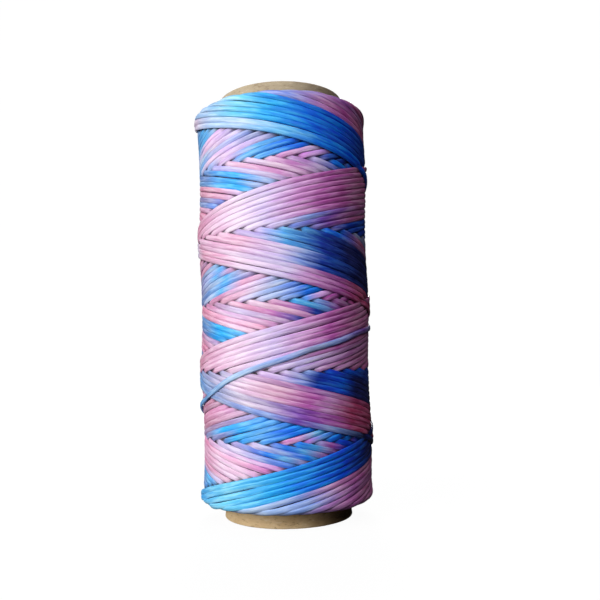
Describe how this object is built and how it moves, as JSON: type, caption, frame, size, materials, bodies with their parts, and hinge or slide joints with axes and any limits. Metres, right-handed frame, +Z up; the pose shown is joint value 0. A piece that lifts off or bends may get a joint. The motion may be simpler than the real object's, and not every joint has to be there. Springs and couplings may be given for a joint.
{
  "type": "spool of waxed thread",
  "caption": "Cylindrical cardboard core cross-wound with flat waxed sewing thread, variegated blue, lilac and pink, with the thread's loose tail lying round it.",
  "frame": {"origin": "centre of the core's foot, on the surface that the spool stands on", "axes": "+Z up along the core's axis; -Y towards the viewer, +X to the right"},
  "size_m": [0.0346, 0.0344, 0.079],
  "materials": {
    "cardboard": "matte kraft paperboard",
    "thread": "waxed flat braid, space dyed blue, lilac and pink, soft gloss"
  },
  "bodies": {
    "root": {"core": "cardboard", "wound_thread": "thread", "thread_tail": "thread"}
  },
  "joints": []
}
